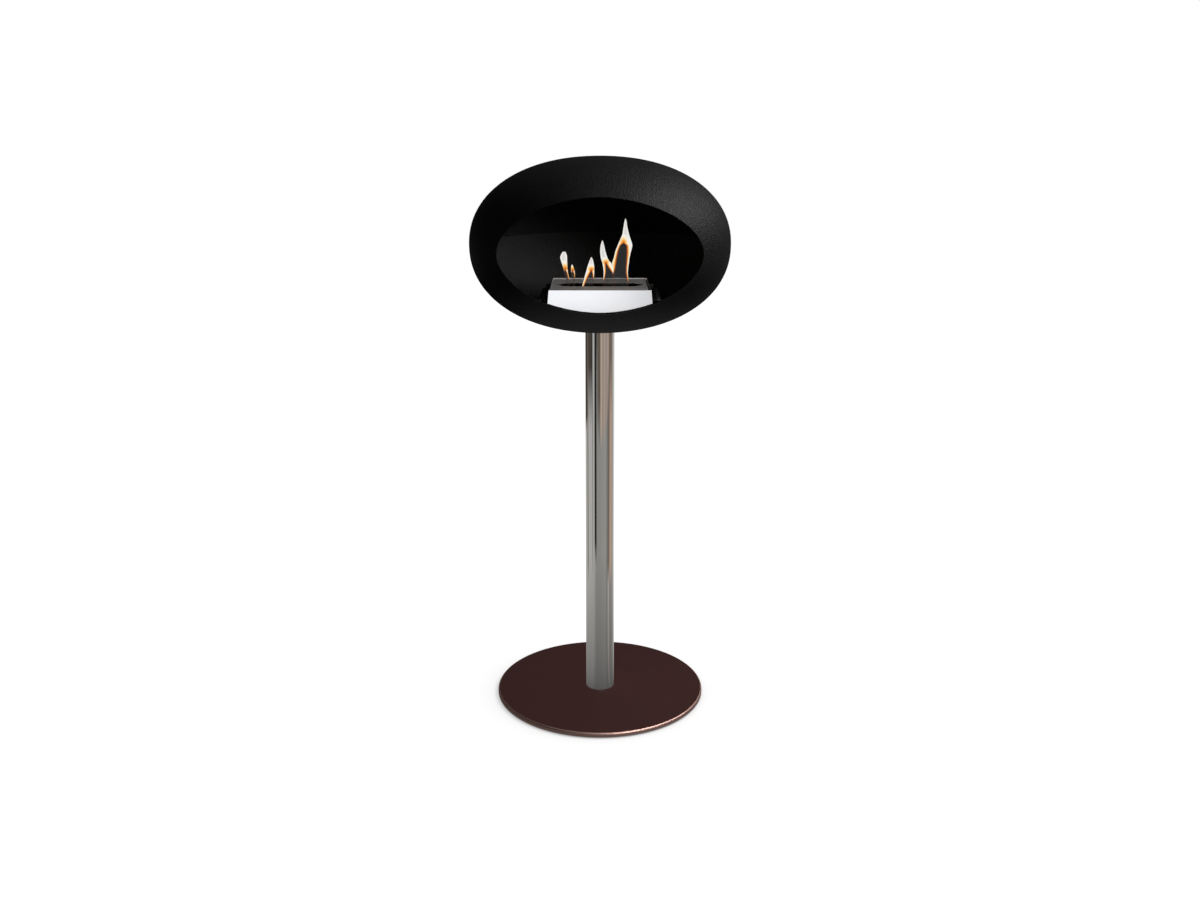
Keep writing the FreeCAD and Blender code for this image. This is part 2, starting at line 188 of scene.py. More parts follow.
floor_reach = 9.0
floor_albedo = 0.30
floor_mirror = 0.09
glow_near = 0.80
glow_far = 1.0
glow_start = 0.24
glow_end = 0.42
shade_reach = 0.07
shade_power = 0.5
bpy.ops.mesh.primitive_plane_add(size=2 * floor_reach, location=(0, 0, 0))
floor = bpy.context.object
floor.name = "studio_floor"
paint = Finish("studio_floor")
matt = paint.node("ShaderNodeBsdfDiffuse", {}, {"Color": (floor_albedo,) * 3})
glow = paint.between(paint.reach(), glow_start, glow_end, glow_near, glow_far)
open_share = paint.node("ShaderNodeAmbientOcclusion", {"samples": 16}, {"Distance": shade_reach}, out="AO")
seen = paint.node("ShaderNodeLightPath", {}, {}, out="Is Camera Ray")
shine = paint.shine(glow * open_share**shade_power * seen)
lit = paint.node("ShaderNodeAddShader", {}, {0: matt, 1: shine})
mirrored = paint.node("ShaderNodeLightPath", {}, {}, out="Is Glossy Ray")
in_mirror = paint.shine(floor_mirror)
paint.ends(paint.node("ShaderNodeMixShader", {}, {0: mirrored, 1: lit, 2: in_mirror}))
floor.data.materials.append(paint.material)

sky_left = 0.02
sky_right = 0.18
sky_mirror_left = 0.01
sky_mirror_right = 0.08
surroundings = bpy.data.worlds.new("studio")
bpy.context.scene.world = surroundings
sky = Finish("studio", surroundings)
seen = sky.node("ShaderNodeLightPath", {}, {}, out="Is Camera Ray")
mirrored = sky.node("ShaderNodeLightPath", {}, {}, out="Is Glossy Ray")
heading = sky.node("ShaderNodeTexCoord", {}, {}, out="Generated")
rightness = sky.node("ShaderNodeSeparateXYZ", {}, {"Vector": heading}, out="X")
soft = sky.between(rightness, -1, 1, sky_left, sky_right)
dim = sky.between(rightness, -1, 1, sky_mirror_left, sky_mirror_right)
strength = seen + (1 - seen) * (mirrored * dim + (1 - mirrored) * soft)
sky.ends(sky.node("ShaderNodeBackground", {}, {"Color": (1, 1, 1), "Strength": strength}))


def lamp(name, place, aim, size, power):
    """Square soft lamp turned towards a point."""
    bpy.ops.object.light_add(type="AREA", location=place)
    light = bpy.context.object
    light.name = name
    light.data.size = size
    light.data.energy = power
    light.rotation_euler = (Vector(aim) - Vector(place)).to_track_quat("-Z", "Y").to_euler()
    return light


lamp("key_lamp", place=(1.68, 0.06, 2.54), aim=(0, 0, 0.97), size=1.3, power=55)
lamp("front_lamp", place=(1.35, -2.3, 1.6), aim=(0, 0, 0.95), size=0.8, power=22)
burner_lamp = lamp("burner_lamp", place=(0.3, -1.6, 2.0), aim=(0, -0.11, 0.90), size=0.3, power=5.8)
lamp_lit = bpy.data.collections.new("lamp_lit")
burner_lamp.light_linking.receiver_collection = lamp_lit

# Cards: tall sheets of light round the pole that show only in its polish, as upright bands. Each row
# has the first and last compass angle from the front, the lower edge's height at both, the upper edge's
# height and the tone. High cards stand a little nearer and fade in slowly over the ones below.
polished = bpy.data.collections.new("polished")
card_distance = 0.5
card_top = 0.80
card_fade = 0.06
high_card = 0.45
high_fade = 0.16
high_step = 0.003
cards = [
    ("brown_edge", -150, -117, 0.44, 0.50, card_top, (0.065, 0.050, 0.035)),
    ("brown_far_left", -117, -104, 0.55, 0.55, card_top, (0.16, 0.13, 0.11)),
    ("grey_far_left", -117, -104, 0.06, 0.06, 0.72, (0.24, 0.215, 0.18)),
    ("brown_left", -104, -72, 0.50, 0.47, card_top, (0.09, 0.075, 0.065)),
    ("dark_left", -72, -62, 0.47, 0.47, card_top, (0.045, 0.035, 0.030)),
    ("pale_left", -62, -54, 0.08, 0.08, card_top, (0.33, 0.325, 0.31)),
    ("white_line", -55, -45, 0.10, 0.10, card_top, (0.64, 0.64, 0.63)),
    ("grey_line", -45, -39, 0.12, 0.12, card_top, (0.19, 0.19, 0.185)),
    ("black_line", -39, -27, 0.12, 0.12, card_top, (0.012, 0.012, 0.010)),
    ("dark_front", -27, -20, 0.60, 0.60, card_top, (0.06, 0.055, 0.05)),
    ("brown_front", -20, 3, 0.50, 0.40, card_top, (0.17, 0.14, 0.115)),
    ("tan_front", 3, 19, 0.42, 0.42, card_top, (0.60, 0.49, 0.40)),
    ("dim_front", 19, 27, 0.42, 0.42, card_top, (0.35, 0.28, 0.235)),
    ("bright_front", 27, 35, 0.43, 0.43, card_top, (0.60, 0.50, 0.43)),
    ("pink_right", 35, 60, 0.44, 0.52, card_top, (0.47, 0.385, 0.335)),
    ("bright_right", 60, 69, 0.49, 0.49, card_top, (0.60, 0.49, 0.43)),
    ("grey_right", 60, 69, 0.06, 0.06, 0.66, (0.20, 0.185, 0.165)),
    ("brown_right", 69, 80, 0.06, 0.06, card_top, (0.25, 0.195, 0.16)),
    ("tan_top", 80, 104, 0.50, 0.50, card_top, (0.22, 0.17, 0.135)),
    ("tan_line", 80, 104, 0.06, 0.06, 0.68, (0.60, 0.44, 0.35)),
]


def only_mirrored(sheet, paint, shader, mirrors):
    """Makes a sheet of light that nothing but one collection's pieces mirror."""
    sheet.data.materials.append(paint.ends(shader))
    sheet.visible_camera = False
    sheet.visible_diffuse = False
    sheet.visible_transmission = False
    sheet.visible_shadow = False
    sheet.light_linking.receiver_collection = mirrors


for name, first_deg, last_deg, first_low, last_low, high, tone in cards:
    is_high = first_low > high_card
    distance = card_distance - (high_step if is_high else 0)
    bpy.ops.mesh.primitive_plane_add(size=1)
    card = bpy.context.object
    card.name = "card_" + name
    corners = ((first_deg, first_low), (last_deg, last_low), (first_deg, high), (last_deg, high))
    for vertex, (turn_deg, height) in zip(card.data.vertices, corners):
        turn = math.radians(turn_deg)
        vertex.co = (distance * math.sin(turn), -distance * math.cos(turn), height)
    paint = Finish(card.name)
    low = min(first_low, last_low)
    strength = paint.between(paint.along("Z"), low, low + (high_fade if is_high else card_fade))
    clear = paint.node("ShaderNodeBsdfTransparent")
    shader = paint.node("ShaderNodeMixShader", {}, {0: strength, 1: clear, 2: paint.shine(1.0, tone)})
    only_mirrored(card, paint, shader, polished)

# Sheets on the floor: one for the pole's lower part, whose tones run round the pole as the cards' do,
# and a plain one for the dome's underside. A last sheet in front gives the front plate its soft change
# from bright to dim.
sheet_level = 0.0004
sheet_points = 96
pole_sheet_start = 0.035
pole_sheet_full = 0.9
pole_sheet_power = 0.5
pole_sheet_strength = 1.1
pole_sheet_tones = [
    (0.06, (0.42, 0.41, 0.39)),
    (0.139, (0.46, 0.45, 0.43)),
    (0.30, (0.45, 0.44, 0.43)),
    (0.36, (0.42, 0.42, 0.41)),
    (0.42, (0.24, 0.24, 0.23)),
    (0.50, (0.25, 0.25, 0.24)),
    (0.62, (0.29, 0.29, 0.28)),
    (0.66, (0.20, 0.19, 0.18)),
    (0.70, (0.50, 0.47, 0.45)),
    (0.74, (0.22, 0.20, 0.18)),
    (0.84, (0.36, 0.34, 0.32)),
    (0.90, (0.80, 0.80, 0.80)),
]


def floor_sheet(name, radius, level):
    """Round sheet just above the floor."""
    bpy.ops.mesh.primitive_circle_add(
        vertices=sheet_points, radius=radius, location=(0, 0, level), fill_type="NGON"
    )
    sheet = bpy.context.object
    sheet.name = name
    return sheet


sheet = floor_sheet("card_floor", floor_reach, sheet_level)
paint = Finish("card_floor")
point = paint.node("ShaderNodeTexCoord", {}, {}, out="Object")
turned = paint.node("ShaderNodeMapping", {}, {"Vector": point, "Rotation": (0, 0, math.pi / 2)})
compass = paint.node("ShaderNodeTexGradient", {"gradient_type": "RADIAL"}, {"Vector": turned})
tone = paint.node("ShaderNodeValToRGB", {"stops": pole_sheet_tones}, {"Fac": compass})
near = paint.between(paint.reach(), pole_sheet_start, pole_sheet_full) ** pole_sheet_power
shine = paint.shine(near * pole_sheet_strength, tone)
clear = paint.node("ShaderNodeBsdfTransparent")
only_mirrored(sheet, paint, paint.node("ShaderNodeAddShader", {}, {0: clear, 1: shine}), polished)

below_dome = bpy.data.collections.new("below_dome")
dome_sheet_edge = 0.9
dome_sheet_full = 0.2
dome_sheet_strength = 0.31
sheet = floor_sheet("card_below_dome", dome_sheet_edge, 2 * sheet_level)
paint = Finish("card_below_dome")
near = paint.between(paint.reach(), dome_sheet_edge, dome_sheet_full)
shine = paint.shine(near * dome_sheet_strength)
clear = paint.node("ShaderNodeBsdfTransparent")
only_mirrored(sheet, paint, paint.node("ShaderNodeAddShader", {}, {0: clear, 1: shine}), below_dome)

front_sheet_size = 0.55
front_sheet_place = (0, -1.0, 0.84)
front_sheet_tone = (0.99, 1.0, 1.02)
bright_side = 0.04
dim_side = 0.12
bright_strength = 1.18
dim_strength = 0.66
bpy.ops.mesh.primitive_plane_add(
    size=front_sheet_size, location=front_sheet_place, rotation=(math.pi / 2, 0, 0)
)
sheet = bpy.context.object
sheet.name = "card_front_plate"
paint = Finish("card_front_plate")
strength = paint.between(paint.along("X"), bright_side, dim_side, bright_strength, dim_strength)
only_mirrored(sheet, paint, paint.shine(strength, front_sheet_tone), polished)
bpy.ops.object.select_all(action="DESELECT")

# Foot plate: a heavy round steel plate with a rounded rim, powder coated matt dark brown, and along the
# rim a band of bright pinkish metal that gives it a painted sheen. It is turned in one piece, with a seat
# for the pole's spigot and a hole for the screw that holds the pole from below.
weld_distance = 0.000005
coat_mottle = 0.05
coat_unevenness = 0.3


def select_only(piece):
    """Selects one piece and makes it the active one."""
    bpy.ops.object.select_all(action="DESELECT")
    piece.select_set(True)
    bpy.context.view_layer.objects.active = piece


def drawn(name, points):
    """Line from point to point, left selected in edit mode."""
    bpy.ops.mesh.primitive_plane_add(size=0.01, location=points[0])
    piece = bpy.context.object
    piece.name = name
    bpy.ops.object.transform_apply(location=True, rotation=True, scale=True)
    bpy.ops.object.mode_set(mode="EDIT")
    bpy.ops.mesh.merge(type="CENTER")
    for point, following in zip(points, points[1:]):
        step = tuple(end - start for start, end in zip(point, following))
        bpy.ops.mesh.extrude_region_move(TRANSFORM_OT_translate={"value": step})
    bpy.ops.mesh.select_all(action="SELECT")
    return piece


def lathe(name, profile, steps):
    """Piece spun round the pole's axis from a profile of (radius, height) points."""
    piece = drawn(name, [(radius, 0, height) for radius, height in profile])
    bpy.ops.mesh.spin(steps=steps, angle=math.tau, center=(0, 0, 0), axis=(0, 0, 1))
    bpy.ops.mesh.select_all(action="SELECT")
    bpy.ops.mesh.remove_doubles(threshold=weld_distance)
    bpy.ops.mesh.normals_make_consistent(inside=False)
    bpy.ops.object.mode_set(mode="OBJECT")
    return piece


def arc(centre, radius, start_deg, end_deg, steps):
    """Points along a round corner of a profile."""
    points = []
    for step in range(steps + 1):
        angle = math.radians(start_deg + (end_deg - start_deg) * step / steps)
        points.append((centre[0] + radius * math.cos(angle), centre[1] + radius * math.sin(angle)))
    return points


def apply_modifier(piece, kind, **settings):
    """Adds one modifier and applies it."""
    select_only(piece)
    modifier = piece.modifiers.new(kind.lower(), kind)
    for name, value in settings.items():
        setattr(modifier, name, value)
    bpy.ops.object.modifier_apply(modifier=modifier.name)


def finish_mesh(piece, material, body, smooth_deg=35):
    """Smooth shading, material and body for a finished piece."""
    select_only(piece)
    bpy.ops.object.shade_smooth_by_angle(angle=math.radians(smooth_deg))
    apply_modifier(piece, "WEIGHTED_NORMAL", keep_sharp=True)
    piece.data.materials.clear()
    piece.data.materials.append(material)
    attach(piece, body)
    bpy.ops.object.select_all(action="DESELECT")


def coat(name, dark, light, roughness, grain_size, grain_height, specular, sheen_band=None):
    """Powder coat: a fine orange-peel grain over a slightly mottled colour. With sheen_band, which is a
    radius, a full radius, a colour and a roughness, it turns to metal past the radius, for a painted
    sheen."""
    paint = Finish(name)
    place = paint.place()
    mottle = paint.noise(place, coat_mottle)
    grain = paint.noise(place, grain_size, 3.0)
    colour = paint.mix(mottle, dark, light)
    bump = paint.node("ShaderNodeBump", {}, {"Height": grain, "Strength": 1.0, "Distance": grain_height})
    rough = roughness + (grain - 0.5) * coat_unevenness
    sheen_share = 0.0
    if sheen_band:
        start, full, metal_colour, metal_rough = sheen_band
        sheen_share = paint.between(paint.reach(), start, full)
        colour = paint.mix(sheen_share, colour, metal_colour)
        rough = rough + sheen_share * (metal_rough - roughness)
    return paint.surface({
        "Base Color": colour,
        "Metallic": sheen_share,
        "Roughness": rough,
        "Specular IOR Level": specular,
        "Normal": bump,
    })


foot_low, foot_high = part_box("foot_plate")
foot_radius = foot_high.x
foot_round = 0.0040
foot_chamfer = 0.0015
foot_hole = 0.0065
spigot_seat = 0.0152
seat_depth = 0.0015
seat_level = foot_high.z - seat_depth
foot_profile = [(foot_hole, foot_low.z), (foot_radius - foot_chamfer, foot_low.z)]
foot_profile += [(foot_radius, foot_low.z + foot_chamfer)]
foot_profile += arc((foot_radius - foot_round, foot_high.z - foot_round), foot_round, 0, 90, steps=8)
foot_profile += [(spigot_seat, foot_high.z), (spigot_seat, seat_level), (foot_hole, seat_level)]
foot_profile += [(foot_hole, foot_low.z)]
foot_plate = lathe("foot_plate_body", foot_profile, steps=192)
# Past this radius the coat turns to bright pinkish metal, a painted sheen along the rim
sheen_start = foot_radius - 0.0032
sheen_full = foot_radius - 0.0020
sheen_metal_colour = (0.95, 0.62, 0.54)
sheen_roughness = 0.45
brown_coat = coat(
    "brown_powder_coat",
    dark=(0.0555, 0.0232, 0.0204),
    light=(0.0606, 0.0258, 0.0230),
    roughness=0.36,
    grain_size=0.0015,
    grain_height=0.00006,
    specular=0.12,
    sheen_band=(sheen_start, sheen_full, sheen_metal_colour, sheen_roughness),
)
finish_mesh(foot_plate, brown_coat, "stand", smooth_deg=30)
foot_plate.visible_glossy = False
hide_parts("foot_plate")


def recoat(names, material):
    """Gives CAD nodes, whose shape is right as it is, a material of the scene."""
    for name in names:
        nodes[name].data.materials.clear()
        nodes[name].data.materials.append(material)


rubber = coat(
    "black_rubber",
    dark=(0.014, 0.014, 0.014),
    light=(0.022, 0.022, 0.021),
    roughness=0.85,
    grain_size=0.0012,
    grain_height=0.0001,
    specular=0.3,
)
recoat(("floor_pad", "dome_gasket"), rubber)
nodes["floor_pad"].visible_glossy = False

# Pole: polished stainless tube with a fine grain along its length, whose ends are cut square and
# slightly broken. The plugs welded into them are plain turned steel, and the screws, the washer and the
# nuts are zinc plated.
streak_dark = 0.93
streak_light = 1.05
streak_unevenness = 0.08
smear_size = 0.02
smear_unevenness = 0.04
soot_and_shade_edge = 0.0002
soot_and_shade_colour = (0.008, 0.008, 0.008)


def metal(name, colour, roughness, streak, stretch, wave=0.0, metallic=1.0, soot_and_shade_level=None):
    """Steel with a fine grain drawn out along one axis, black above a level with soot and painted shade.
    """
    steel = Finish(name)
    fine = steel.noise(steel.place(stretch), streak, 4.0)
    soft = steel.noise(steel.place(), smear_size)
    dark = tuple(streak_dark * part for part in colour)
    light = tuple(min(1.0, streak_light * part) for part in colour)
    tone = steel.mix(fine, dark, light)
    bump = steel.node("ShaderNodeBump", {}, {"Height": fine, "Strength": 1.0, "Distance": wave})
    if soot_and_shade_level:
        clean_and_unshaded = steel.between(steel.along("Z"), soot_and_shade_level + soot_and_shade_edge, soot_and_shade_level - soot_and_shade_edge)
        tone = steel.mix(clean_and_unshaded, soot_and_shade_colour, tone)
        metallic = clean_and_unshaded * metallic
    rough = roughness + (fine - 0.5) * streak_unevenness + (soft - 0.5) * smear_unevenness
    return steel.surface({"Base Color": tone, "Metallic": metallic, "Roughness": rough, "Normal": bump})


def break_edges(piece, width, sharper_than=0.6, segments=2):
    """Breaks the edges that turn by more than an angle in radians."""
    apply_modifier(
        piece, "BEVEL", width=width, segments=segments, limit_method="ANGLE", angle_limit=sharper_than
    )


pole_low, pole_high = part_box("pole_tube")
pole_radius = pole_high.x
pole_wall = 0.002
pole_edge = 0.0003
bpy.ops.mesh.primitive_cylinder_add(
    vertices=128,
    radius=pole_radius,
    depth=pole_high.z - pole_low.z,
    location=(0, 0, (pole_low.z + pole_high.z) / 2),
    end_fill_type="NOTHING",
)
pole = bpy.context.object
pole.name = "pole_body"
bpy.ops.object.transform_apply(location=True, rotation=True, scale=True)
apply_modifier(pole, "SOLIDIFY", thickness=pole_wall, offset=-1)
break_edges(pole, pole_edge, sharper_than=1.0)
pole_steel = metal(
    "polished_pole_steel", (0.66, 0.65, 0.635), roughness=0.045, streak=0.0006, stretch=(1, 1, 0.02)
)
finish_mesh(pole, pole_steel, "stand")
polished.objects.link(pole)
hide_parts("pole_tube")
turned_steel = metal("turned_steel", (0.40, 0.40, 0.40), roughness=0.35, streak=0.0004, stretch=(1, 1, 1))
zinc = metal("zinc_plate", (0.50, 0.50, 0.53), roughness=0.30, streak=0.0020, stretch=(1, 1, 1))
recoat(("pole_foot_plug", "pole_head_plug"), turned_steel)
recoat(("foot_screw", "dome_screw", "spring_washer", "front_plate_nuts"), zinc)
# The pole neither shades the foot plate nor shows in its coat
for piece in (pole, nodes["pole_foot_plug"], nodes["pole_head_plug"]):
    piece.visible_shadow = False
    piece.visible_glossy = False


# Dome: spun and welded steel shell, 2.5 mm thick, with an oval mouth cut straight through its front.
# It is powder coated black with a fine grain, and the coat inside is greyer, which is painted light for
# the light that falls in through the mouth. A screw through the clamp plate holds it on the pole.
def arch_point(angle, width, height, fullness):
    """Point at an angle on an oval, which is fuller than an ellipse where fullness is over 2."""
    power = 2 / fullness
    across = math.copysign(abs(math.cos(angle)) ** power, math.cos(angle))
    rise = math.copysign(abs(math.sin(angle)) ** power, math.sin(angle))
    return width * across, height * rise


def dome_profile(radius, half_height, end_deg):
    """Points along a dome-like curve, from the rim of its bottom hole upwards."""
    share = 1 - (screw_hole / radius) ** dome_fullness
    points = [(screw_hole, dome_middle - half_height * share ** (1 / dome_fullness))]
    for angle_deg in range(-90 + dome_step_deg, end_deg + 1, dome_step_deg):
        across, rise = arch_point(math.radians(angle_deg), radius, half_height, dome_fullness)
        if across > screw_hole or angle_deg > 0:
            points.append((max(across, 0), dome_middle + rise))
    return points


def bar(name, outline, level, reach, front=0.0):
    """Solid bar along Y whose section is an outline of (across, up) points round a level."""
    points = [(side, front, level + rise) for side, rise in outline]
    piece = drawn(name, points + points[:1])
    bpy.ops.mesh.remove_doubles(threshold=weld_distance)
    bpy.ops.mesh.select_all(action="SELECT")
    bpy.ops.mesh.edge_face_add()
    bpy.ops.mesh.extrude_region_move(TRANSFORM_OT_translate={"value": (0, reach, 0)})
    bpy.ops.mesh.select_all(action="SELECT")
    bpy.ops.mesh.normals_make_consistent(inside=False)
    bpy.ops.object.mode_set(mode="OBJECT")
    return piece


def cut_mouth(piece, margin):
    """Cuts the mouth's oval, grown by a margin, through the front of a shell."""
    outline = []
    for step in range(mouth_steps):
        angle = math.tau * step / mouth_steps
        outline.append(
            arch_point(angle, mouth_width / 2 + margin, mouth_height / 2 + margin, mouth_fullness)
        )
    cutter = bar("mouth_cutter", outline, dome_middle, -2 * dome_radius)
    apply_modifier(piece, "BOOLEAN", object=cutter, operation="DIFFERENCE", solver="EXACT")
    bpy.data.objects.remove(cutter)


dome_low, dome_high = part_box("dome_shell")
dome_radius = dome_high.x
dome_middle = (dome_low.z + dome_high.z) / 2
dome_half = (dome_high.z - dome_low.z) / 2
dome_wall = 0.0025
dome_fullness = 2.16
dome_step_deg = 2
dome_edge = 0.0005
mouth_width = 0.384
mouth_height = 0.212
mouth_fullness = 1.85
mouth_steps = 160
screw_hole = 0.0065
profile = dome_profile(dome_radius, dome_half, end_deg=90)
profile[-1] = (0, dome_high.z)
dome = lathe("dome_body", profile, steps=192)
apply_modifier(dome, "SOLIDIFY", thickness=dome_wall, offset=-1)
cut_mouth(dome, 0)
break_edges(dome, dome_edge, sharper_than=0.8)
black_coat = coat(
    "black_powder_coat",
    dark=(0.0026, 0.0026, 0.0026),
    light=(0.0034, 0.0034, 0.0033),
    roughness=0.55,
    grain_size=0.0028,
    grain_height=0.00165,
    specular=0.20,
)
coarse = {"roughness": 0.65, "grain_size": 0.0030, "grain_height": 0.00160, "specular": 0.06}
# The greyer coat inside the dome is painted light
inner_coat_painted_light = coat("inner_coat_painted_light", dark=(0.0340, 0.0340, 0.0340), light=(0.0400, 0.0400, 0.0397), **coarse)
finish_mesh(dome, black_coat, "stand", smooth_deg=30)
dome.data.materials.append(inner_coat_painted_light)
for face in dome.data.polygons:
    outward = Vector((face.center.x, face.center.y, face.center.z - dome_middle))
    if face.normal.dot(outward) < 0:
        face.material_index = 1
below_dome.objects.link(dome)
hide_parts("dome_shell")

# Lining: a thin steel bowl that lies in the dome and keeps the heat off its lower half. It ends in a
# level rim at the dome's widest line and is cut back behind the mouth. Its coat is coarser, and greyer
# as painted light for the light that falls on the lower inside.
bowl_low, bowl_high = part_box("heat_shield_bowl")
bowl_wall = 0.0012
mouth_margin = 0.010
profile = dome_profile(bowl_high.x, dome_middle - bowl_low.z, end_deg=0)
bowl = lathe("lining_body", profile, steps=160)
apply_modifier(bowl, "SOLIDIFY", thickness=bowl_wall, offset=-1)
cut_mouth(bowl, mouth_margin)
# The lining's lighter grey is painted light
lining_coat_painted_light = coat("lining_coat_painted_light", dark=(0.062, 0.062, 0.062), light=(0.073, 0.073, 0.073), **coarse)
finish_mesh(bowl, lining_coat_painted_light, "stand", smooth_deg=30)
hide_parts("heat_shield_bowl")


# Clamp plate in the bottom of the lining, and the two rails that carry the burner: folded sheet steel
# with the lining's coat, whose grey is painted light. They are copies of the solids, with broken edges
# and smooth shading.
def copied(node, name):
    """Copy of a solid's mesh as a piece of its own."""
    piece = nodes[node].copy()
    piece.data = nodes[node].data.copy()
    piece.name = name
    for key in list(piece.keys()):
        del piece[key]
    piece.parent = None
    bpy.context.scene.collection.objects.link(piece)
    return piece


def dressed(node, name, material, body, edge=0.0002):
    """Copy of a solid's mesh with merged faces and slightly broken edges."""
    piece = copied(node, name)
    select_only(piece)
    bpy.ops.object.mode_set(mode="EDIT")
    bpy.ops.mesh.select_all(action="SELECT")
    bpy.ops.mesh.remove_doubles(threshold=weld_distance)
    bpy.ops.mesh.dissolve_limited(angle_limit=math.radians(1))
    bpy.ops.object.mode_set(mode="OBJECT")
    break_edges(piece, edge)
    finish_mesh(piece, material, body, smooth_deg=40)
    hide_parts(node)
    return piece


dressed("clamp_plate", "clamp_plate_body", lining_coat_painted_light, "stand", edge=0.0005)
dressed("burner_rail_left", "left_rail", lining_coat_painted_light, "stand")
dressed("burner_rail_right", "right_rail", lining_coat_painted_light, "stand")

# Burner box: folded stainless sheet, open above. Its runners are coated like the dome, and its thin rim
# stands up round the top plate, black along its edge with soot and with painted shade of the narrow gap
# there. The tank, nearly black with scorching and painted shade, hangs inside it, and the shutter runs on
# two ledges below the top plate.
top_plate_low, top_plate_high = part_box("burner_top_plate")
# The rim is black above this level: soot, and painted shade of the gap round the top plate
soot_and_shade_rise = 0.0017
soot_and_shade_start = top_plate_high.z + soot_and_shade_rise
box_side = 0.0945
brushed = {"streak": 0.0005, "stretch": (0.03, 1, 1), "wave": 0.00001}
dull = {"roughness": 0.50, "metallic": 0.15}
sheet_steel = metal("brushed_sheet_steel", (0.42, 0.41, 0.40), roughness=0.33, **brushed)
rim_steel = metal("sooty_shaded_rim_steel", (0.62, 0.61, 0.60), **dull, **brushed, soot_and_shade_level=soot_and_shade_start)
# Tank, ledges, shutter and slot walls: nearly black for scorching and for painted shade
scorched_and_shaded = coat(
    "scorched_and_shaded_steel",
    dark=(0.0035, 0.0032, 0.0030),
    light=(0.0080, 0.0070, 0.0065),
    roughness=0.7,
    grain_size=0.0015,
    grain_height=0.0001,
    specular=0.1,
)
burner_box = dressed("burner_casing", "burner_box", sheet_steel, "burner")
burner_box.data.materials.append(black_coat)
burner_box.data.materials.append(rim_steel)
for face in burner_box.data.polygons:
    if abs(face.center.x) > box_side:
        face.material_index = 1
    elif face.center.z > top_plate_low.z:
        face.material_index = 2
lamp_lit.objects.link(burner_box)
dressed("fuel_tank", "tank_body", scorched_and_shaded, "burner")
dressed("shutter_guide_left", "left_ledge", scorched_and_shaded, "burner")
dressed("shutter_guide_right", "right_ledge", scorched_and_shaded, "burner")
dressed("shutter", "shutter_plate", scorched_and_shaded, "shutter")

# Front plate: thick stainless sheet, polished bright, with finely rounded edges, held by two nuts on
# weld studs behind it. Its lower edge follows the mouth's oval, and its sides flare towards the bottom.
plate_low, plate_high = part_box("burner_front_plate")
plate_thickness = 0.002
plate_edge = 0.0006
plate_top_half = 0.095
plate_low_half = plate_high.x
plate_steps = 40
mouth_clearance = 0.0009


def mouth_floor(side):
    """Height of the plate's lower edge at a distance from its middle."""
    share = (abs(side) / (mouth_width / 2 - mouth_clearance)) ** mouth_fullness
    half = mouth_height / 2 - mouth_clearance
    return -half * (1 - share) ** (1 / mouth_fullness)


plate_outline = [(-plate_top_half, plate_high.z - dome_middle)]
for step in range(plate_steps + 1):
    side = plate_low_half * (2 * step / plate_steps - 1)
    plate_outline.append((side, mouth_floor(side)))
plate_outline.append((plate_top_half, plate_high.z - dome_middle))
front_plate = bar("front_plate", plate_outline, dome_middle, plate_thickness, plate_low.y)
break_edges(front_plate, plate_edge, segments=3)
bright_steel = metal(
    "bright_plate_steel",
    (0.86, 0.865, 0.88),
    roughness=0.22,
    streak=0.0004,
    stretch=(0.03, 1, 1),
    wave=0.000004,
)
finish_mesh(front_plate, bright_steel, "burner")
polished.objects.link(front_plate)
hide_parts("burner_front_plate")

# Fibre: a block of white mineral wool that fills the tank below the slot and holds the fuel. Only its
# upper face shows, through the slot, painted dark for scorching and for the shade deep in the slot.
fibre_grain = 0.0022
tuft_size = 0.006
tuft_height = 0.0016
strand_size = 0.0006
scorch_size = 0.03
fibre = copied("fibre_block", "fibre_wool")
apply_modifier(fibre, "REMESH", mode="VOXEL", voxel_size=fibre_grain)
tufts = bpy.data.textures.new("tufts", "CLOUDS")
tufts.noise_scale = tuft_size
apply_modifier(fibre, "DISPLACE", texture=tufts, strength=tuft_height, mid_level=1.0)
wool = Finish("mineral_wool")
scorch = wool.noise(wool.place(), scorch_size)
strand = wool.noise(wool.place((0.2, 1, 1)), strand_size, 4.0)
# The wool's dark tones are scorching and painted shade inside the slot
wool_material = wool.surface({
    "Base Color": wool.mix(scorch, (0.010, 0.009, 0.008), (0.050, 0.046, 0.040)),
    "Roughness": 0.95,
    "Specular IOR Level": 0.1,
    "Normal": wool.node("ShaderNodeBump", {}, {"Height": strand, "Distance": strand_size}),
})
finish_mesh(fibre, wool_material, "burner", smooth_deg=60)
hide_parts("fibre_block")

# Top plate: brushed stainless plate that lies loose on the tank, with a pointed slot for the flames
# and a small finger notch in the middle of its front edge. The slot's walls are darkened with scorching
# and with painted shade.
slot_middle = -0.1108
slot_reach = Vector((0.0845, 0.0225))
level_face = 0.95
plate_steel = metal("satin_top_steel", (0.45, 0.45, 0.455), **dull, **brushed)
top_plate = dressed(
    "burner_top_plate", "top_plate_body", plate_steel, "burner", edge=0.0003
)
# The slot's walls get the nearly black steel: scorching and painted shade
top_plate.data.materials.append(scorched_and_shaded)
for face in top_plate.data.polygons:
    in_slot = abs(face.center.x) < slot_reach.x and abs(face.center.y - slot_middle) < slot_reach.y
    if in_slot and abs(face.normal.z) < level_face:
        face.material_index = 1
lamp_lit.objects.link(top_plate)
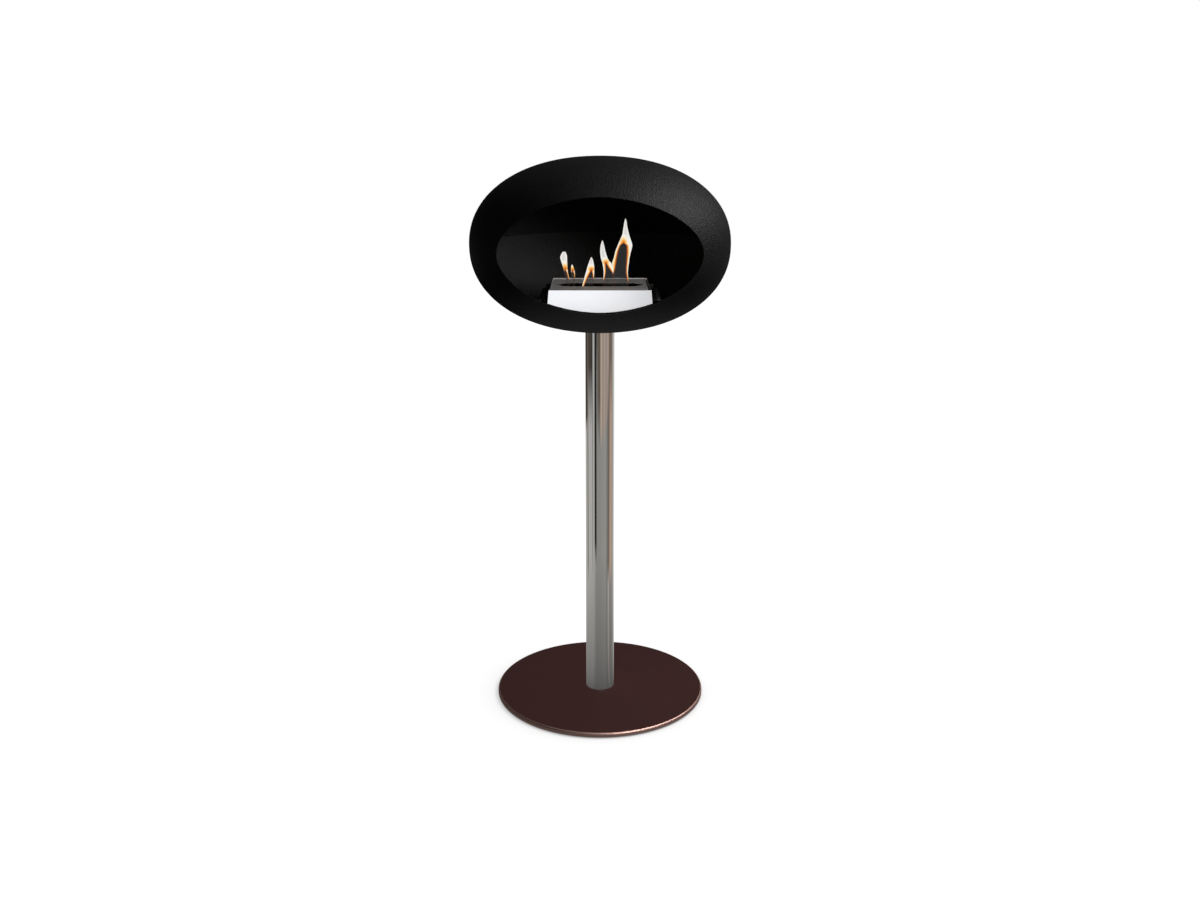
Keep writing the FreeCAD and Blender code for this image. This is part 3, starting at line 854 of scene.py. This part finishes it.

# Flames: five tongues of burning alcohol in the slot, each a thin closed sheet with a white body and an
# orange edge round a dark clear core. Their legs fade out above the slot. They ride on the burner.
flame_looks = {
    # height of the glow above the core, the left and right legs' greatest heat, and the heights where
    # the left and right legs are gone
    "flame_far_left": (15, 0.55, 0.80, 25, 8),
    "flame_left": (10, 0.62, 0.66, 22, 11),
    "flame_middle": (10, 0.92, 0.66, -8, 9),
    "flame_right": (10, 1.00, 0.98, 8, 20),
    "flame_far_right": (14, 0.78, 1.00, 20, 4),
}
flame_rows = {
    # from the tip down: the height above the slot, then the places of the left edge, the core's left
    # and right edges and the right edge, all in millimetres
    "flame_far_left": [
        (63.9, -68.0, -68.0, -68.0, -68.0),
        (61.5, -71.6, -68.0, -68.0, -64.8),
        (55.3, -74.9, -68.5, -68.5, -62.7),
        (50.9, -75.7, -68.6, -68.6, -62.5),
        (43.3, -73.4, -67.5, -67.5, -62.4),
        (33.6, -70.2, -66.6, -66.6, -62.0),
        (29.0, -69.2, -66.4, -66.0, -61.8),
        (23.0, -68.0, -67.4, -63.0, -61.2),
        (12.8, -65.6, -65.0, -60.4, -58.9),
        (0.0, -62.6, -62.0, -58.0, -57.0),
        (-6.0, -61.6, -61.0, -57.4, -56.6),
    ],
    "flame_left": [
        (39.5, -53.2, -53.2, -53.2, -53.2),
        (37.0, -54.3, -53.1, -53.1, -51.9),
        (33.6, -55.1, -52.8, -52.8, -50.5),
        (27.0, -55.1, -52.0, -51.6, -48.5),
        (20.0, -54.6, -53.4, -49.2, -47.7),
        (10.0, -53.6, -52.8, -49.2, -48.2),
        (0.0, -53.0, -52.4, -49.6, -49.0),
        (-6.0, -52.8, -52.2, -49.8, -49.2),
    ],
    "flame_middle": [
        (53.6, -16.3, -16.3, -16.3, -16.3),
        (50.5, -17.8, -16.2, -16.2, -14.8),
        (45.5, -19.9, -16.4, -16.4, -12.9),
        (34.7, -23.8, -16.4, -16.4, -10.9),
        (28.1, -25.6, -16.6, -16.2, -10.9),
        (20.5, -27.8, -20.5, -14.0, -11.2),
        (11.8, -30.2, -24.9, -12.9, -11.8),
        (0.0, -33.3, -30.4, -13.4, -12.6),
        (-6.0, -34.8, -33.2, -13.8, -13.2),
    ],
    "flame_right": [
        (85.0, 4.6, 4.6, 4.6, 4.6),
        (81.0, 3.0, 4.6, 4.6, 6.0),
        (74.7, 1.1, 4.6, 4.6, 7.8),
        (63.9, 0.2, 5.6, 5.6, 10.0),
        (52.0, 1.3, 8.0, 8.0, 13.8),
        (45.5, 3.2, 9.4, 9.6, 17.2),
        (41.5, 4.5, 10.4, 11.8, 21.6),
        (33.6, 6.0, 11.0, 16.1, 24.0),
        (25.0, 7.1, 10.8, 22.6, 25.6),
        (12.8, 6.6, 8.6, 25.6, 26.0),
        (0.0, 5.8, 7.2, 25.6, 26.0),
        (-6.0, 5.6, 6.8, 25.6, 26.0),
    ],
    "flame_far_right": [
        (125.9, 48.1, 48.1, 48.1, 48.1),
        (120.0, 46.2, 48.1, 48.1, 49.9),
        (110.1, 44.6, 47.8, 47.8, 51.3),
        (96.2, 42.5, 47.6, 47.6, 54.5),
        (85.5, 38.2, 46.2, 46.2, 58.2),
        (78.7, 35.2, 43.0, 45.8, 60.4),
        (76.6, 34.2, 39.8, 49.2, 60.9),
        (73.6, 33.1, 37.6, 50.8, 61.3),
        (63.9, 29.2, 34.0, 51.4, 58.9),
        (50.9, 26.2, 31.3, 51.1, 55.8),
        (41.5, 22.8, 30.0, 50.6, 54.9),
        (33.6, 23.6, 28.6, 50.0, 53.7),
        (23.2, 25.6, 26.0, 50.2, 52.8),
        (11.8, 25.6, 26.0, 52.2, 53.8),
        (0.0, 25.6, 26.0, 53.8, 54.8),
        (-6.0, 25.6, 26.0, 54.4, 55.2),
    ],
}
# The flames' mesh, with lengths in millimetres too
millimetre = 0.001
flame_step = 1.2
flame_depth = 5.5
flame_flatness = 0.45
least_width = 0.01
open_core = 0.3
leg_steps = 8
core_steps = 8
# Their heat, from 0 for clear to 1 for white: in the core and the crown above it, and in the legs
crown_half = 9.0
core_heat = 0.22
crown_gain = 0.6
leg_heat = 0.20
leg_gain = 0.80
glow_inside = 0.8
glow_narrow = 2.8
glow_wide = 6.5
join_height = 14.0
leg_cooling = 0.28
leg_fade = 6.0
edge_dimming = 0.16
full_heat = 0.30
# How much shows of their hot parts and of the faint haze in their cores
flame_alpha = 0.92
haze_alpha = 0.32
haze_bottom = -4.0
haze_fade = 14.0
# Where they start
slot_level = top_plate_high.z


def share_of(value, full):
    """The value as a share of full, kept between 0 and 1."""
    return min(max(value / full, 0), 1)


def edges_at(rows, height):
    """A flame's four edges at a height, read evenly between its rows."""
    for upper, lower in zip(rows, rows[1:]):
        if height >= lower[0]:
            share = (height - lower[0]) / (upper[0] - lower[0])
            return [low + (high - low) * share for high, low in zip(upper[1:], lower[1:])]
    return list(rows[-1][1:])


def across(left, core_left, core_right, right):
    """Places across a flame, from its left edge to its right edge."""
    places = [left + (core_left - left) * step / leg_steps for step in range(leg_steps)]
    places += [core_left + (core_right - core_left) * step / core_steps for step in range(core_steps)]
    places += [core_right + (right - core_right) * step / leg_steps for step in range(leg_steps + 1)]
    return places


burning = Finish("burning_alcohol")
flame_tones = [
    (0.00, (0.046, 0.046, 0.048)),
    (0.14, (0.085, 0.045, 0.034)),
    (0.26, (0.46, 0.085, 0.012)),
    (0.40, (0.82, 0.26, 0.035)),
    (0.54, (0.96, 0.54, 0.15)),
    (0.68, (0.96, 0.79, 0.52)),
    (0.82, (0.92, 0.88, 0.81)),
    (0.92, (0.88, 0.86, 0.83)),
    (1.00, (0.70, 0.68, 0.66)),
]
foot_tone = (0.060, 0.052, 0.052)
flame_tone = burning.node("ShaderNodeValToRGB", {"stops": flame_tones}, {"Fac": burning.attribute("burn")})
flame_material = burning.surface({
    "Base Color": (0, 0, 0),
    "Roughness": 1.0,
    "Specular IOR Level": 0.0,
    "Emission Color": burning.mix(burning.attribute("foot"), flame_tone, foot_tone),
    "Emission Strength": 1.0,
    "Alpha": burning.attribute("body"),
})
for name, rows in flame_rows.items():
    crown, left_heat, right_heat, left_end, right_end = flame_looks[name]
    top = rows[0][0]
    bottom = rows[-1][0]
    apex, _, apex_left, apex_right, _ = next(row for row in rows if row[3] - row[2] > open_core)
    apex_middle = (apex_left + apex_right) / 2
    count = math.ceil((top - bottom) / flame_step)
    verts, burns, bodies, feet = [], [], [], []
    for level in range(1, count):
        height = top + (bottom - top) * level / count
        left, core_left, core_right, right = edges_at(rows, height)
        places = across(left, core_left, core_right, right)
        depth = min(flame_depth, flame_flatness * (right - left))
        haze = haze_alpha * share_of(height - haze_bottom, haze_fade)
        warmth = 1 - leg_cooling * (1 - share_of(height, apex))
        for side in (-1, 1):
            for x in places if side < 0 else places[-2:0:-1]:
                offset = 2 * (x - left) / max(right - left, least_width) - 1
                y = slot_middle + side * depth * millimetre * math.sqrt(max(1 - offset * offset, 0))
                verts.append((x * millimetre, y, slot_level + height * millimetre))
                on_left = x < (core_left + core_right) / 2
                alive = share_of(height - (left_end if on_left else right_end), leg_fade)
                if height > apex:
                    away = math.hypot((height - apex) / crown, (x - apex_middle) / crown_half)
                    burn = core_heat + crown_gain * away
                elif core_left <= x <= core_right:
                    inside = min(x - core_left, core_right - x)
                    burn = core_heat * (1 - share_of(inside, glow_inside))
                else:
                    width = core_left - left if on_left else right - core_right
                    outside = core_left - x if on_left else x - core_right
                    burn = leg_heat + leg_gain * outside / min(max(width, glow_narrow), glow_wide)
                    hottest = (left_heat if on_left else right_heat) * warmth
                    hottest += (1 - hottest) * (1 - share_of(apex - height, join_height))
                    burn = min(burn, hottest)
                burn = min(max(burn, 0), 1 - edge_dimming * offset * offset)
                hot = share_of(burn, full_heat)
                burns.append(burn)
                bodies.append(haze * (1 - hot * alive) + flame_alpha * hot * alive)
                feet.append((1 - alive) * hot)
    ring = 2 * (2 * leg_steps + core_steps)
    last = (count - 2) * ring
    faces = []
    for start in range(0, last, ring):
        for index in range(ring):
            here = start + index
            beside = start + (index + 1) % ring
            faces.append((here, beside, beside + ring, here + ring))
    faces += [tuple(reversed(range(ring))), tuple(range(last, last + ring))]
    mesh = bpy.data.meshes.new(name)
    mesh.from_pydata(verts, [], faces)
    for attribute, values in (("burn", burns), ("body", bodies), ("foot", feet)):
        mesh.attributes.new(attribute, "FLOAT", "POINT").data.foreach_set("value", values)
    flame = bpy.data.objects.new(name, mesh)
    bpy.context.scene.collection.objects.link(flame)
    finish_mesh(flame, flame_material, "burner", smooth_deg=60)
    flame.visible_shadow = False
    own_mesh(flame)
